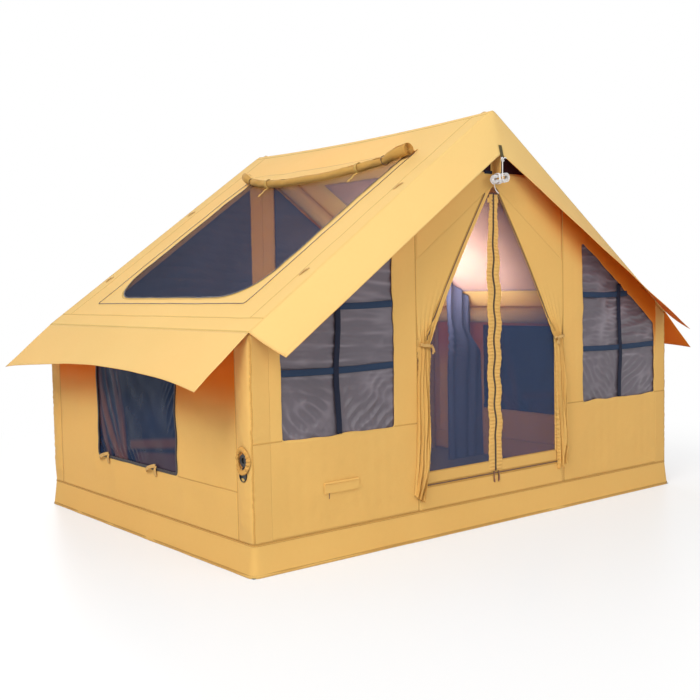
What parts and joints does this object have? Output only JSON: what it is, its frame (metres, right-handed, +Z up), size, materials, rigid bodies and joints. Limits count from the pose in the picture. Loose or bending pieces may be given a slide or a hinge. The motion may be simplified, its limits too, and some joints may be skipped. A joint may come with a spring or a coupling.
{
  "type": "inflatable tent",
  "caption": "Ridge tent on hollow air beams, with eave flaps, gable awnings, tied-back door curtains, mesh doors, windows, skylights and a hanging guy rope.",
  "frame": {"origin": "on the ground under the middle of the tent", "axes": "+X across the gables to the right seen from the front, +Y from the front gable to the rear gable, +Z up"},
  "size_m": [3.546, 2.5042, 2.122],
  "materials": {
    "canvas_wall": "tan cotton-like tent cloth, fine plain weave, soft wrinkles",
    "canvas_roof": "pale tan tent cloth, fine plain weave, stitched seams",
    "inner_cloth": "slate blue lining cloth in soft folds",
    "beam_skin": "tan woven sleeve drawn tight over the air beam, low sheen",
    "dark_film": "dark tinted window film, glossy",
    "grey_film": "smoky tinted window film, wrinkled, semi-gloss",
    "door_mesh": "dark fine insect mesh",
    "vent_mesh": "dark maroon vent mesh",
    "navy_webbing": "dark navy woven webbing",
    "olive_webbing": "dark olive woven webbing",
    "black_plastic": "moulded black plastic",
    "brown_plastic": "brown coated zip slider",
    "floor_sheet": "coated woven groundsheet",
    "rope": "white braided cord"
  },
  "bodies": {
    "tent": {"post_beam_front_left": "beam_skin", "post_beam_front_right": "beam_skin", "post_beam_rear_left": "beam_skin", "post_beam_rear_right": "beam_skin", "rafter_beam_front_left": "beam_skin", "rafter_beam_front_right": "beam_skin", "rafter_beam_rear_left": "beam_skin", "rafter_beam_rear_right": "beam_skin", "eave_beam_left": "beam_skin", "eave_beam_right": "beam_skin", "ridge_beam": "beam_skin", "groundsheet": "floor_sheet", "skirt_left": "canvas_wall", "skirt_right": "canvas_wall", "skirt_front": "canvas_wall", "skirt_rear": "canvas_wall", "side_wall_left": "canvas_wall", "side_wall_right": "canvas_wall", "side_window_film_left": "dark_film", "side_window_film_right": "dark_film", "front_wall_left": "canvas_wall", "front_wall_right": "canvas_wall", "front_window_film_left": "grey_film", "front_window_film_right": "grey_film", "front_window_webbing_left": "navy_webbing", "front_window_webbing_right": "navy_webbing", "front_gore_left": "canvas_wall", "front_gore_right": "canvas_wall", "front_sill_panel": "canvas_wall", "gable_vent_mesh": "vent_mesh", "rear_wall": "canvas_wall", "rear_window_film_left": "grey_film", "rear_window_film_right": "grey_film", "roof_panel_left": "canvas_roof", "roof_panel_right": "canvas_roof", "skylight_film_left": "dark_film", "skylight_film_right": "dark_film", "skylight_cover_roll_left": "canvas_roof", "skylight_cover_right": "canvas_roof", "inner_curtain": "inner_cloth", "eave_flap_left": "canvas_roof", "eave_flap_right": "canvas_roof", "awning_front_left": "canvas_roof", "awning_front_right": "canvas_roof", "awning_rear_left": "canvas_roof", "awning_rear_right": "canvas_roof", "door_curtain_left": "canvas_wall", "door_curtain_right": "canvas_wall", "valve_body": "black_plastic", "peak_tab": "olive_webbing", "guy_rope_hank": "rope"},
    "left_door_leaf": {"mesh_door_left": "door_mesh"},
    "right_door_leaf": {"mesh_door_right": "door_mesh"},
    "door_slider": {"door_zip_slider": "brown_plastic"},
    "left_sill_slider": {"sill_zip_slider_left": "brown_plastic"},
    "right_sill_slider": {"sill_zip_slider_right": "brown_plastic"},
    "port_flap": {"cable_port_flap": "canvas_wall"},
    "port_slider": {"cable_port_zip_slider": "brown_plastic"},
    "plunger": {"valve_plunger": "black_plastic"},
    "cap": {"valve_cap": "black_plastic"}
  },
  "joints": [
    {"name": "left_door_swing", "type": "hinge", "parent": "tent", "child": "left_door_leaf", "pos_m": [-0.55, -1.0452, 1], "axis": [0, 0, 1], "range_deg": [0, 90]},
    {"name": "right_door_swing", "type": "hinge", "parent": "tent", "child": "right_door_leaf", "pos_m": [0.55, -1.0452, 1], "axis": [0, 0, -1], "range_deg": [0, 90]},
    {"name": "door_zip_slide", "type": "slide", "parent": "left_door_leaf", "child": "door_slider", "axis": [0, 0, -1], "range_m": [0, 1.335]},
    {"name": "left_sill_zip_slide", "type": "slide", "parent": "tent", "child": "left_sill_slider", "axis": [-1, 0, 0], "range_m": [0, 0.44]},
    {"name": "right_sill_zip_slide", "type": "slide", "parent": "tent", "child": "right_sill_slider", "axis": [1, 0, 0], "range_m": [0, 0.44]},
    {"name": "port_flap_lift", "type": "hinge", "parent": "tent", "child": "port_flap", "pos_m": [-1.02, -1.0556, 0.3547], "axis": [-1, 0, 0], "range_deg": [0, 120]},
    {"name": "port_zip_slide", "type": "slide", "parent": "tent", "child": "port_slider", "axis": [1, 0, 0], "range_m": [0, 0.14]},
    {"name": "valve_press", "type": "slide", "parent": "tent", "child": "plunger", "axis": [1, 0, 0], "range_m": [0, 0.006], "stiffness_N_per_m": 400, "springref_m": -0.005},
    {"name": "cap_swing", "type": "hinge", "parent": "tent", "child": "cap", "pos_m": [-1.5073, -0.9917, 0.467], "axis": [0, 1, 0], "range_deg": [0, 180]}
  ]
}
